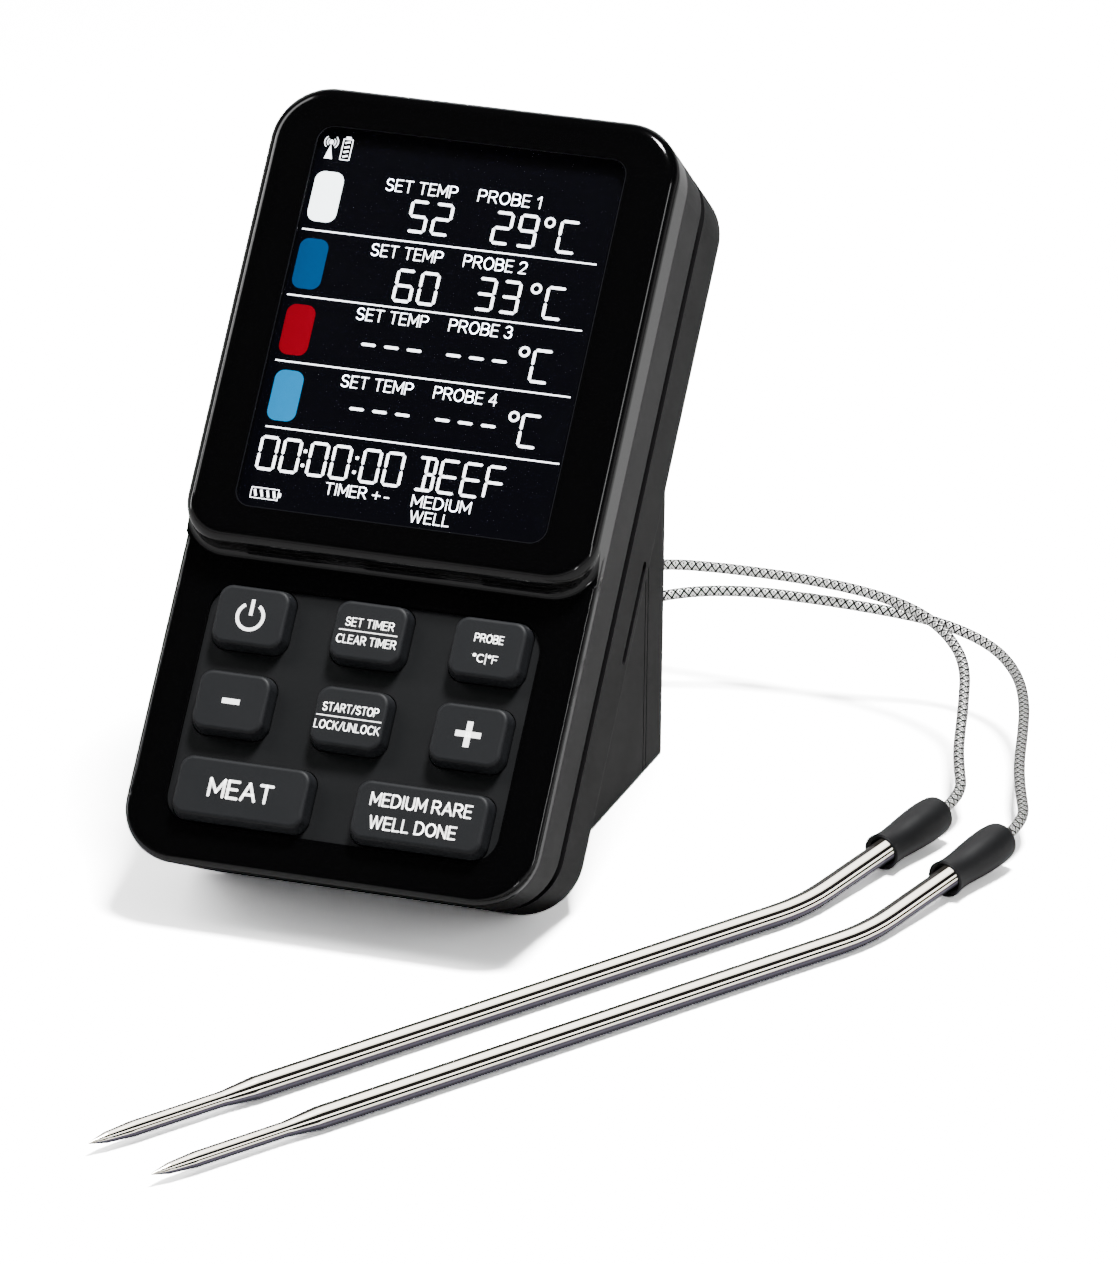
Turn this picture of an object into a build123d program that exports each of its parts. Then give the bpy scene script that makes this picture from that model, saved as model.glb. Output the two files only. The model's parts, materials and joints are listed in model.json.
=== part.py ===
"""Meat thermometer: a leaning table unit with a display, eight keys and four probe jacks,
and two steel needle probes on braided leads.

Millimetres, +Z up.  The origin is under the middle of the unit, on the surface it stands on.
+X is the unit's right as seen from the front and -Y is the side the display faces.
The leaning slab is drawn in its own frame: x across, y up the face, z out of the face,
with z = 0 on the front plane of the keypad half.
"""
from build123d import *
import os
from math import cos, pi, radians, sin, sqrt, tan

os.makedirs("parts", exist_ok=True)

# ---------------------------------------------------------------- driving dimensions
LEAN = 37.8              # lean of the face back from upright, degrees
WIDTH = 75.0             # slab, across
FACE_TOP = 135.0         # top edge of the slab, measured up the face from its lower back edge
DEPTH = 27.5             # slab, front plane of the keypad half to back
CORNER = 10.5            # corner radius of the slab seen from the front
FOOT_CUT = 12.9          # how far the lower side is off square to the face, degrees
WALL = 2.0               # moulded wall
GAP = 0.2                # gap round a loose piece

SEAM_Z = -2.6            # front cover meets the middle frame
GROOVE_Z = -12.7         # middle frame meets the recessed band
BAND_Z = -15.2           # recessed band meets the rear case
BAND_INSET = 1.2

BLOCK_FOOT = 50.3        # lower edge of the raised screen block
BLOCK_RISE = 5.1
BLOCK_CORNER = 8.0
BLOCK_RIM = 2.4          # rounding of the block's front edge
COVE = 1.8               # hollow curve where the block rises from the keypad half
COVER_EDGE = 1.3         # rounding of the cover's lower front edge

WINDOW_W = 57.0          # display window
WINDOW_FOOT = 57.0
WINDOW_TOP = 127.6
WINDOW_CORNER = 3.0

PAD_W = 60.4             # opening for the keypad
PAD_FOOT = 1.2
PAD_TOP = 44.4
PAD_CORNER = 5.0
KEY_PITCH_X = 21.6
KEY_PITCH_Y = 15.5
KEY_ROW = 7.35           # lowest row's middle, up the face
KEY_W = 13.8
KEY_H = 11.4
WIDE_KEY_W = 24.6
WIDE_KEY_X = 16.2
KEY_CORNER = 2.6
KEY_TOP = 2.4            # key tops above the front plane
KEY_FOOT = -3.6
KEY_TRAVEL = 1.0
BOARD_Z = -5.8           # front of the main board
BOARD_T = 1.6

WEDGE_W = 54.0           # stand behind the slab
WEDGE_BACK = 81.4        # its back wall, measured back from the slab's lower back edge
WEDGE_SEAM = 69.9        # its main part ends here, and the jack cover starts
WEDGE_H = 88.0
SEAM_GAP = 0.35

JACK_Z = 32.0
JACK_PITCH = 12.0
JACK_BORE_R = 1.3
JACK_LIP = 0.5
JACK_DEPTH = 13.0
PIN_R = 1.25
PIN_L = 11.3
PLUG_R = 4.0
PLUG_L = 15.0
RELIEF_L = 8.0

DOOR_FOOT = 40.0         # battery door on the back wall
DOOR_TOP = 66.0
DOOR_W = 50.0
DOOR_T = 1.6
CELL_R = 5.25            # AAA cells
CELL_L = 44.5

NEEDLE_R = 2.0
NEEDLE_TIP_R = 1.35
NEEDLE_AIM = 59.7        # direction the needles point back along the table, degrees from +X
HANDLE_AIM = 75.0        # direction of the bent end
NEEDLE_L = 156.0         # tip to bend
HANDLE_L = 44.5          # bend to the end of the sleeve
HANDLE_RISE = 2.65
SENSOR_R = 0.8
SENSOR_L = 7.0
SENSOR_AT = 11.0         # start of the sensor, back from the point
SLEEVE_L = 19.2
SLEEVE_R = 3.65

LEAD_D = 2.0             # braided lead
COIL_RADII = [9.0, 11.0, 13.0]
COIL_LAYERS = 4
COIL_LIFT = 0.6          # the coil lies on its tie
TIE_T = 0.6

Y_SHIFT = -28.5          # puts the origin under the middle of the unit

lean = radians(LEAN)
OUT = Vector(0, -cos(lean), sin(lean))
FACE = Plane(origin=OUT * DEPTH + Vector(0, Y_SHIFT, 0), x_dir=(1, 0, 0), z_dir=OUT)
BLOCK_Z = BLOCK_RISE


def save(name, shape):
    export_step(shape, "parts/" + name + ".step")


def foot(z):
    """Lower edge of the slab at depth z: its lower side rises towards the front."""
    return -(z + DEPTH) * tan(radians(FOOT_CUT))


def outline(z, inset=0.0):
    low = foot(z) + inset
    high = FACE_TOP - inset
    shape = RectangleRounded(WIDTH - 2 * inset, high - low, CORNER - inset)
    return Pos(0, (low + high) / 2, z) * shape


def layer(back, front, inset=0.0):
    return loft([outline(back, inset), outline(front, inset)], ruled=True)


def plate(x_size, low, high, back, front, corner=0.0):
    """A flat piece parallel to the face, centred across it."""
    size = (x_size, high - low)
    shape = RectangleRounded(*size, corner) if corner else Rectangle(*size)
    return extrude(Pos(0, (low + high) / 2, back) * shape, front - back)


def rod(x, y, back, front, radius):
    return extrude(Pos(x, y, back) * Circle(radius), front - back)


def upright(x_size, y_low, y_high, z_low, z_high, x=0.0):
    """A box in the table's frame, with y measured back from the slab's lower back edge."""
    middle = (x, (y_low + y_high) / 2 + Y_SHIFT, (z_low + z_high) / 2)
    return Pos(*middle) * Box(x_size, y_high - y_low, z_high - z_low)


def along_y(x, z, y_low, y_high, radius):
    base = Plane(origin=(x, y_low + Y_SHIFT, z), x_dir=(1, 0, 0), z_dir=(0, 1, 0))
    return extrude(base * Circle(radius), y_high - y_low)


def edges_at(shape, z, low=-1000.0, high=1000.0):
    """Edges that lie wholly in the plane z, between low and high up the face."""
    found = []
    for edge in shape.edges():
        box = edge.bounding_box()
        flat = abs(box.min.Z - z) < 1e-3 and abs(box.max.Z - z) < 1e-3
        if flat and box.min.Y > low and box.max.Y < high:
            found.append(edge)
    return found


# ---------------------------------------------------------------- front cover and display
def cove():
    """The hollow curve along the foot of the screen block and round its lower corners."""
    side = WIDTH / 2
    r = BLOCK_CORNER
    slack = r * (1 - cos(radians(45)))
    left = ThreePointArc((-side, BLOCK_FOOT + r), (-side + slack, BLOCK_FOOT + slack), (-side + r, BLOCK_FOOT))
    base = Line((-side + r, BLOCK_FOOT), (side - r, BLOCK_FOOT))
    right = ThreePointArc((side - r, BLOCK_FOOT), (side - slack, BLOCK_FOOT + slack), (side, BLOCK_FOOT + r))
    start = Plane(origin=(-side, BLOCK_FOOT + r, 0), x_dir=(-1, 0, 0), z_dir=(0, 1, 0))
    mid = COVE * (1 - cos(radians(45)))
    hollow = ThreePointArc((0, COVE), (mid, mid), (COVE, 0))
    rest = Polyline((COVE, 0), (COVE, -0.4), (-0.5, -0.4), (-0.5, COVE), (0, COVE))
    return sweep(start * make_face(hollow + rest), path=left + base + right)


def front_cover():
    lower = layer(SEAM_Z, 0.0)
    lower = fillet(edges_at(lower, 0.0), COVER_EDGE)
    block_shape = Rectangle(WIDTH, FACE_TOP - BLOCK_FOOT)
    corners = block_shape.vertices().group_by(Axis.Y)
    block_shape = fillet(corners[0], BLOCK_CORNER)
    corners = block_shape.vertices().sort_by(Axis.Y)[-2:]
    block_shape = fillet(corners, CORNER)
    block_y = (FACE_TOP + BLOCK_FOOT) / 2
    block = extrude(Pos(0, block_y, -COVER_EDGE - 0.2) * block_shape, BLOCK_Z + COVER_EDGE + 0.2)
    block = fillet(edges_at(block, BLOCK_Z), BLOCK_RIM)
    cover = lower + block + (cove() & plate(WIDTH, 0.0, FACE_TOP, -0.5, COVE + 1.0))
    inside = plate(WIDTH - 2 * WALL - 1, BLOCK_FOOT + 3.2, FACE_TOP - WALL - 0.3, SEAM_Z, 3.3, 6)
    window = plate(WINDOW_W, WINDOW_FOOT, WINDOW_TOP, 3.3, BLOCK_Z, WINDOW_CORNER)
    pad = plate(PAD_W, PAD_FOOT, PAD_TOP, SEAM_Z, 0.0, PAD_CORNER)
    return cover - inside - window - pad


def display_window():
    return plate(WINDOW_W - 0.1, WINDOW_FOOT + 0.05, WINDOW_TOP - 0.05, 3.3, 4.95, WINDOW_CORNER)


LCD_W = 62.0
LCD_FOOT = 55.0
LCD_TOP = 130.0


def display_parts():
    size = (LCD_W, LCD_FOOT, LCD_TOP)
    save("lcd_glass", FACE * plate(*size, 0.9, 3.2))
    save("backlight", FACE * plate(*size, -1.6, 0.9))
    frame = plate(LCD_W + 5, LCD_FOOT - 1.2, LCD_TOP + 2, BOARD_Z, 3.2, 5)
    frame -= plate(LCD_W, LCD_FOOT, LCD_TOP, BOARD_Z, 3.2)
    save("lcd_frame", FACE * frame)
    save("lcd_connector", FACE * plate(LCD_W - 6, LCD_FOOT + 0.5, LCD_FOOT + 3.5, BOARD_Z, -1.6))


# ---------------------------------------------------------------- keypad
def key_table():
    rows = [KEY_ROW + KEY_PITCH_Y * i for i in range(3)]
    return {
        "key_power": (-KEY_PITCH_X, rows[2], KEY_W),
        "key_timer": (0.0, rows[2], KEY_W),
        "key_units": (KEY_PITCH_X, rows[2], KEY_W),
        "key_minus": (-KEY_PITCH_X, rows[1], KEY_W),
        "key_start": (0.0, rows[1], KEY_W),
        "key_plus": (KEY_PITCH_X, rows[1], KEY_W),
        "key_meat": (-WIDE_KEY_X, rows[0], WIDE_KEY_W),
        "key_doneness": (WIDE_KEY_X, rows[0], WIDE_KEY_W),
    }


KEYS = key_table()


def key(x, y, width):
    """A tall key with leaning sides and a rounded top edge, on a short plunger."""
    foot_shape = Pos(x, y, KEY_FOOT) * RectangleRounded(width, KEY_H, KEY_CORNER)
    shoulder = Pos(x, y, 0.0) * RectangleRounded(width, KEY_H, KEY_CORNER)
    top_shape = Pos(x, y, KEY_TOP) * RectangleRounded(width - 1.1, KEY_H - 1.1, KEY_CORNER - 0.4)
    cap = loft([foot_shape, shoulder], ruled=True) + loft([shoulder, top_shape], ruled=True)
    cap = fillet(edges_at(cap, KEY_TOP), 0.7)
    return cap + rod(x, y, KEY_FOOT - 0.9, KEY_FOOT, 2.4)


def keypad_mat():
    mat = plate(PAD_W - 0.2, PAD_FOOT + 0.1, PAD_TOP - 0.1, SEAM_Z, -0.5, PAD_CORNER)
    mat += plate(PAD_W + 5, PAD_FOOT - 2.7, PAD_TOP + 2.6, SEAM_Z - 1.0, SEAM_Z, PAD_CORNER)
    for x, y, width in KEYS.values():
        hole = RectangleRounded(width + 2 * GAP, KEY_H + 2 * GAP, KEY_CORNER + GAP)
        mat -= extrude(Pos(x, y, SEAM_Z - 1.0) * hole, 4.0)
    return mat


def keypad_parts():
    save("keypad_mat", FACE * keypad_mat())
    spacer = plate(PAD_W + 5, PAD_FOOT - 2.7, PAD_TOP + 2.6, BOARD_Z, SEAM_Z - 1.0, PAD_CORNER)
    spacer -= plate(PAD_W, PAD_FOOT, PAD_TOP, BOARD_Z, SEAM_Z - 1.0, PAD_CORNER)
    save("keypad_spacer", FACE * spacer)
    pads = []
    for name, (x, y, width) in KEYS.items():
        save(name, FACE * key(x, y, width))
        pads.append(FACE * rod(x, y, BOARD_Z, BOARD_Z + 0.2, 2.8))
    save("key_contacts", Compound(children=pads))


# ---------------------------------------------------------------- slab
BOSS_X = 30.6
BOSS_LOW = 4.6
BOSS_HIGH = 128.0
BOSS_R = 3.0
SCREW_R = 1.2
HEAD_R = 2.4
HEAD_T = 1.7
CASE_FLOOR = -DEPTH + WALL


def boss_points():
    return [(sx * BOSS_X, y) for sx in (-1, 1) for y in (BOSS_LOW, BOSS_HIGH)]


def mid_frame():
    ring = layer(GROOVE_Z, SEAM_Z) - layer(GROOVE_Z, SEAM_Z, WALL)
    ledge_back = BOARD_Z - BOARD_T - 1.6
    ledge = layer(ledge_back, BOARD_Z - BOARD_T, WALL) - layer(ledge_back, BOARD_Z - BOARD_T, WALL + 2.6)
    ring += ledge
    for x, y in boss_points():
        ring += rod(x, y, GROOVE_Z, BOARD_Z - BOARD_T, BOSS_R) & layer(GROOVE_Z, SEAM_Z, 0.5)
    for x, y in boss_points():
        ring -= rod(x, y, GROOVE_Z, BOARD_Z - BOARD_T - 0.6, SCREW_R)
    return ring


def main_board():
    high = FACE_TOP - WALL - 0.5
    return plate(WIDTH - 2 * WALL - 0.6, -1.0, high, BOARD_Z - BOARD_T, BOARD_Z, 8)


def board_parts():
    back = BOARD_Z - BOARD_T
    save("buzzer", FACE * rod(19.0, 104.0, back - 4.6, back, 6.0))
    save("radio_module", FACE * (Pos(-16, 110, back - 1.2) * Box(18, 14, 2.4)))
    save("processor", FACE * (Pos(4, 74, back - 0.7) * Box(12, 12, 1.4)))


def slab_parts():
    save("mid_frame", FACE * mid_frame())
    band = layer(BAND_Z, GROOVE_Z, BAND_INSET) - layer(BAND_Z, GROOVE_Z, BAND_INSET + WALL)
    save("recess_band", FACE * band)


# ---------------------------------------------------------------- rear case and stand
def rear_plane_y(z):
    """Where the slab's back plane stands at height z."""
    return z * tan(lean)


def prism(points, width):
    side = Plane(origin=(-width / 2, Y_SHIFT, 0), x_dir=(0, 1, 0), z_dir=(1, 0, 0))
    return extrude(side * make_face(Polyline(*points, close=True)), width)


def rear_case():
    slab = layer(-DEPTH, BAND_Z)
    slab = fillet(edges_at(slab, -DEPTH), 0.8)
    slab -= layer(CASE_FLOOR, BAND_Z, WALL)
    for x, y in boss_points():
        slab += rod(x, y, CASE_FLOOR - 0.5, BAND_Z, BOSS_R) & layer(-DEPTH + 0.5, BAND_Z, 0.5)
    for x, y in boss_points():
        slab -= rod(x, y, -DEPTH, BAND_Z, SCREW_R)
        slab -= rod(x, y, -DEPTH, -DEPTH + HEAD_T + 0.3, HEAD_R + 0.1)
    for side in (-1, 1):
        slot = Pos(side * WIDTH / 2, 55.5, -24.4) * (Rot(0, 90, 0) * SlotOverall(19.0, 1.8, rotation=90))
        slab -= extrude(slot, 1.1, both=True)
    body = FACE * slab
    back = WEDGE_SEAM - SEAM_GAP
    lap = 0.6
    head_y = rear_plane_y(WEDGE_H) - lap
    solid = [(0.3, 0), (back, 0), (back, WEDGE_H), (head_y, WEDGE_H), (rear_plane_y(4) - lap, 4)]
    body += prism(solid, WEDGE_W)
    hollow_top = WEDGE_H - WALL
    deep = WALL / cos(lean) + 2.0
    hollow = [
        (rear_plane_y(WALL) + 9.0, WALL),
        (back, WALL),
        (back, hollow_top),
        (rear_plane_y(hollow_top) - deep, hollow_top),
        (rear_plane_y(12.0) - deep, 12.0),
    ]
    return body - prism(hollow, WEDGE_W - 2 * WALL)


def rear_cover():
    front = WEDGE_SEAM - SEAM_GAP
    back = WEDGE_BACK
    side = [(front, 0), (back, 0), (back, WEDGE_H - 8), (back - 8, WEDGE_H), (front, WEDGE_H)]
    cover = prism(side, WEDGE_W)
    upright_edges = cover.edges().filter_by(Axis.Z).sort_by(Axis.Y)[-2:]
    cover = fillet(upright_edges, 1.6)
    back -= WALL
    high = WEDGE_H - WALL
    side = [(front, WALL), (back, WALL), (back, high - 7.2), (back - 7.2, high), (front, high)]
    cover -= prism(side, WEDGE_W - 2 * WALL)
    for y in (WEDGE_SEAM, WEDGE_SEAM + 1.5):
        ring = upright(WEDGE_W, y - SEAM_GAP, y, 0.0, WEDGE_H)
        ring -= upright(WEDGE_W - 1.2, y - SEAM_GAP, y, 0.6, WEDGE_H - 0.6)
        cover -= ring
    for x in jack_places():
        cover -= along_y(x, JACK_Z, WEDGE_BACK - WALL, WEDGE_BACK, 3.0)
    cover -= upright(DOOR_W, WEDGE_BACK - WALL, WEDGE_BACK, DOOR_FOOT, DOOR_TOP)
    for x, z in cover_screw_points():
        cover -= along_y(x, z, WEDGE_BACK - WALL, WEDGE_BACK, SCREW_R)
        cover -= along_y(x, z, WEDGE_BACK - 1.0, WEDGE_BACK, HEAD_R + 0.1)
    return cover


def cover_screw_points():
    return [(sx * 22.0, z) for sx in (-1, 1) for z in (8.0, 74.0)]


def jack_places():
    return [JACK_PITCH * (i - 1.5) for i in range(4)]


def jack(x):
    body = upright(8.0, WEDGE_BACK - 15.4, WEDGE_BACK - WALL, JACK_Z - 4, JACK_Z + 4, x)
    body += along_y(x, JACK_Z, WEDGE_BACK - WALL, WEDGE_BACK + JACK_LIP, 2.95)
    bore = along_y(x, JACK_Z, WEDGE_BACK + JACK_LIP - JACK_DEPTH, WEDGE_BACK + JACK_LIP, JACK_BORE_R)
    return body - bore


def battery_door():
    door = upright(DOOR_W - 0.6, WEDGE_BACK - DOOR_T, WEDGE_BACK, DOOR_FOOT + 0.3, DOOR_TOP - 0.3)
    grip = upright(14.0, WEDGE_BACK - 0.7, WEDGE_BACK, DOOR_TOP - 3.2, DOOR_TOP - 0.3)
    return door - grip


def battery_holder():
    low = DOOR_FOOT - 1.2
    high = DOOR_TOP + 1.2
    front = WEDGE_BACK - WALL - 13.2
    tray = upright(WEDGE_W - 2 * WALL - 0.2, front, WEDGE_BACK - WALL, low, high)
    tray -= upright(DOOR_W - 0.6, front + 1.2, WEDGE_BACK - WALL, DOOR_FOOT, DOOR_TOP)
    return tray


CELL_ROWS = [DOOR_FOOT + 7.0, DOOR_TOP - 7.0]
CELL_Y = WEDGE_BACK - WALL - 6.2


def cell(z, side):
    """An AAA cell lying across the holder, with its button towards side."""
    start = Plane(origin=(-side * CELL_L / 2, CELL_Y + Y_SHIFT, z), x_dir=(0, 1, 0), z_dir=(side, 0, 0))
    can = extrude(start * Circle(CELL_R), CELL_L - 1.0)
    can = fillet(can.edges(), 0.5)
    return can + extrude(start * Circle(1.9), CELL_L)


def cell_contacts():
    plates = []
    for side in (-1, 1):
        for z in CELL_ROWS:
            x = side * (DOOR_W / 2 - 0.3 - 0.25)
            plates.append(upright(0.5, CELL_Y - 4.5, CELL_Y + 4.5, z - 4.5, z + 4.5, x))
            gap = x - side * 0.25 - side * CELL_L / 2
            middle = x - side * 0.25 - gap / 2
            plates.append(upright(abs(gap), CELL_Y - 1.5, CELL_Y + 1.5, z - 1.5, z + 1.5, middle))
    return Compound(children=plates)


def stand_parts():
    save("rear_case", rear_case())
    save("rear_cover", rear_cover())
    save("battery_door", battery_door())
    save("battery_holder", battery_holder())
    save("cell_1", cell(CELL_ROWS[0], 1))
    save("cell_2", cell(CELL_ROWS[1], -1))
    save("cell_contacts", cell_contacts())
    for i, x in enumerate(jack_places()):
        save("jack_" + str(i + 1), jack(x))
    board = upright(WEDGE_W - 2 * WALL - 2, WEDGE_BACK - 17.0, WEDGE_BACK - 15.4, JACK_Z - 6, JACK_Z + 6)
    save("jack_board", board)


def case_screw(x, y):
    head = rod(x, y, -DEPTH + 0.3, -DEPTH + 0.3 + HEAD_T, HEAD_R)
    head -= Pos(x, y, -DEPTH + 0.3) * Box(2.8, 0.6, 1.2)
    head -= Pos(x, y, -DEPTH + 0.3) * Box(0.6, 2.8, 1.2)
    return FACE * (head + rod(x, y, -DEPTH + 0.3 + HEAD_T, BOARD_Z - BOARD_T - 1.0, SCREW_R))


def cover_screw(x, z):
    head = along_y(x, z, WEDGE_BACK - 1.0, WEDGE_BACK - 0.1, HEAD_R)
    head -= upright(2.8, WEDGE_BACK - 0.6, WEDGE_BACK, z - 0.3, z + 0.3, x)
    head -= upright(0.6, WEDGE_BACK - 0.6, WEDGE_BACK, z - 1.4, z + 1.4, x)
    return head + along_y(x, z, WEDGE_BACK - 6.0, WEDGE_BACK - 1.0, SCREW_R)


def screws():
    save("case_screws", Compound(children=[case_screw(x, y) for x, y in boss_points()]))
    save("cover_screws", Compound(children=[cover_screw(x, z) for x, z in cover_screw_points()]))


# ---------------------------------------------------------------- probes
def heading(angle):
    return Vector(cos(radians(angle)), sin(radians(angle)), 0)


def turned(start, direction, profile):
    """A solid of revolution about an axis: profile is a list of (distance, radius) points."""
    frame = Plane(origin=start, z_dir=direction)
    points = [(0, profile[0][0])] + [(r, d) for d, r in profile] + [(0, profile[-1][0])]
    face = make_face(Polyline(*points, close=True))
    return frame.location * revolve(Plane.XZ * face, Axis.Z)


def handle_direction():
    flat = heading(HANDLE_AIM) * HANDLE_L
    return Vector(flat.X, flat.Y, HANDLE_RISE).normalized()


def needle(tip):
    """Thin sharp end, full shaft, gentle bend and the straight end inside the sleeve."""
    along = heading(NEEDLE_AIM)
    neck = 34.5
    profile = [(0, 0.15), (3.5, 0.95), (9.0, NEEDLE_TIP_R), (27.5, NEEDLE_TIP_R), (neck, NEEDLE_R)]
    profile.append((neck + 4, NEEDLE_R))
    sharp = turned(tip, along, profile)
    bend = tip + along * NEEDLE_L
    end = bend + handle_direction() * (HANDLE_L - 6.0)
    path = FilletPolyline(tip + along * (neck + 4), bend, end, radius=48.0)
    start = Plane(origin=tip + along * (neck + 4), z_dir=along)
    return sharp + sweep(start * Circle(NEEDLE_R), path=path)


def sleeve(tip):
    """Rubber sleeve: flared open mouth, waist, fat closed end round the lead."""
    along = handle_direction()
    mouth = tip + heading(NEEDLE_AIM) * NEEDLE_L + along * (HANDLE_L - SLEEVE_L)
    bore = NEEDLE_R + 0.05
    inner = bore + 0.5
    outer = [(3.37, 0.3), (3.22, 1.4), (3.12, 3.6), (3.3, 7.2), (3.58, 11.5), (SLEEVE_R, 15.4), (3.45, 18.0)]
    depth = SLEEVE_L - 5.6
    frame = Plane(origin=mouth, z_dir=along)
    skin = Spline(*outer)
    end = Spline((3.45, 18.0), (2.9, 18.95), (1.9, SLEEVE_L))
    rest = Polyline((1.9, SLEEVE_L), (0, SLEEVE_L), (0, depth), (bore, depth), (bore, 3.0), (inner, 0.4), (3.12, 0), (3.37, 0.3))
    face = make_face(skin + end + rest)
    return frame.location * revolve(Plane.XZ * face, Axis.Z)


def sensor(tip):
    """Temperature sensor potted in the thin end of the needle."""
    along = heading(NEEDLE_AIM)
    return turned(tip + along * SENSOR_AT, along, [(0, SENSOR_R), (SENSOR_L, SENSOR_R)])


def corner_radii(points):
    radii = []
    for a, b, c in zip(points, points[1:], points[2:]):
        turn = radians((b - a).get_angle(c - b))
        radii.append(0.45 * min((b - a).length, (c - b).length) / tan(turn / 2))
    return radii


def lead(name, route):
    """A round lead along straight runs joined by arcs, and the radii of its turns."""
    points = [Vector(*p) for p in route]
    radii = corner_radii(points)
    path = FilletPolyline(*points, radius=radii)
    start = Plane(origin=points[0], z_dir=points[1] - points[0])
    tube = sweep(start * Circle(LEAD_D / 2), path=path)
    share = tube.volume / (pi * LEAD_D ** 2 / 4 * path.length)
    print(name, "length", round(path.length, 1), "volume share", round(share, 4))
    print("  radii", [round(r, 1) for r in radii])
    save(name, tube)
    return path.length


def coil_parts(name, middle, tie_angle):
    inner = COIL_RADII[0] - LEAD_D / 2
    outer = COIL_RADII[-1] + LEAD_D / 2
    height = COIL_LAYERS * LEAD_D
    section = Pos((inner + outer) / 2, 0, COIL_LIFT + height / 2)
    face = section * (Plane.XZ * RectangleRounded(outer - inner, height, 0.9))
    ring = revolve(face, Axis.Z)
    place = Pos(middle[0], middle[1], 0)
    save(name + "_coil", place * ring)
    band = Pos((inner + outer) / 2, 0, COIL_LIFT + height / 2) * Box(outer - inner + 2 * TIE_T, 3.0, height + 2 * TIE_T)
    band -= Pos((inner + outer) / 2, 0, COIL_LIFT + height / 2) * Box(outer - inner, 3.0, height)
    save(name + "_tie", place * (Rot(0, 0, tie_angle) * band))


def plug_parts(name, x):
    face_y = WEDGE_BACK + JACK_LIP + GAP
    pin = along_y(x, JACK_Z, face_y - PIN_L, face_y, PIN_R)
    tip_edge = pin.edges().filter_by(GeomType.CIRCLE).sort_by(Axis.Y)[0]
    save(name + "_pin", chamfer(tip_edge, 0.7))
    body = along_y(x, JACK_Z, face_y, face_y + PLUG_L, PLUG_R)
    body = fillet(body.edges().filter_by(GeomType.CIRCLE), 0.8)
    save(name + "_plug", body)
    start = (x, face_y + PLUG_L + Y_SHIFT, JACK_Z)
    save(name + "_relief", turned(start, Vector(0, 1, 0), [(0, 2.9), (RELIEF_L, 1.6)]))


def probe(name, tip, jack_x, coil, tail_route, lead_route, tie_angle):
    tip = Vector(*tip)
    save(name + "_needle", needle(tip) - sensor(tip))
    save(name + "_sensor", sensor(tip))
    save(name + "_sleeve", sleeve(tip))
    plug_parts(name, jack_x)
    coil_parts(name, coil, tie_angle)
    tail = lead(name + "_tail", tail_route)
    free = lead(name + "_lead", lead_route)
    turns = COIL_LAYERS * len(COIL_RADII)
    wound = turns * 2 * pi * sum(COIL_RADII) / len(COIL_RADII)
    print(name, "whole lead about", round(tail + free + wound))


# ---------------------------------------------------------------- the whole thermometer
save("front_cover", FACE * front_cover())
save("display_window", FACE * display_window())
display_parts()
keypad_parts()
slab_parts()
save("main_board", FACE * main_board())
board_parts()
stand_parts()
screws()
probe(
    "probe_1", (-4.9, -146.8, 2.0), jack_places()[1], (-18.0, 105.0),
    [(-6, 76.6, 32), (-5.5, 87, 32), (-3.5, 97.5, 27), (-1.5, 106, 18.5), (-2.5, 113, 9.5), (-8.5, 117.5, 3.6), (-18, 118, 1.6)],
    [
        (-18, 92, 7.6), (-10, 92, 8.6), (-2, 91.8, 13.5), (6, 91.5, 18.5), (15, 91.2, 20.6),
        (25, 90.8, 21.3), (36, 90, 21.7), (46, 89, 21.8), (56, 87.3, 21.5), (65, 83.8, 20.8),
        (72, 79, 19.2), (77.5, 72.5, 16.3), (80.3, 62, 12.6), (82.6, 51.5, 9), (84.4, 46, 7.6),
        (87.4, 38.4, 5.2), (85.3, 30.9, 4.64),
    ],
    180,
)
probe(
    "probe_2", (9.0, -154.5, 2.0), jack_places()[0], (-52.0, 88.0),
    [(-18, 76.6, 32), (-19, 87, 32), (-23.5, 95.5, 26.5), (-30.5, 99, 18), (-36.5, 100.5, 9.5), (-43, 101, 3.4), (-52, 101, 1.6)],
    [
        (-52, 75, 7.6), (-42, 75, 7.2), (-31, 75.3, 7.4), (-20, 76, 8.2), (-9, 77, 9.6),
        (1, 78.5, 12), (10, 80.5, 15.8), (20, 84.3, 18.3), (31, 87.6, 18.8), (43, 89, 18.4),
        (55, 90.2, 17.6), (67, 92.6, 15.7), (77.5, 89.4, 13.9), (84.5, 81.5, 12.5), (89, 71.5, 11.1),
        (92, 60, 9.4), (94.4, 49.5, 8), (97.4, 40.5, 6.5), (101.2, 31, 5.2), (99.2, 23.2, 4.64),
    ],
    180,
)
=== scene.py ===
"""Looks of the meat thermometer: camera, leads, materials, display and key legends, light.
Metres, in the part's own frame."""
import json
from math import atan2, cos, degrees, pi, radians, sin

import bpy
from mathutils import Matrix, Vector


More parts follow.
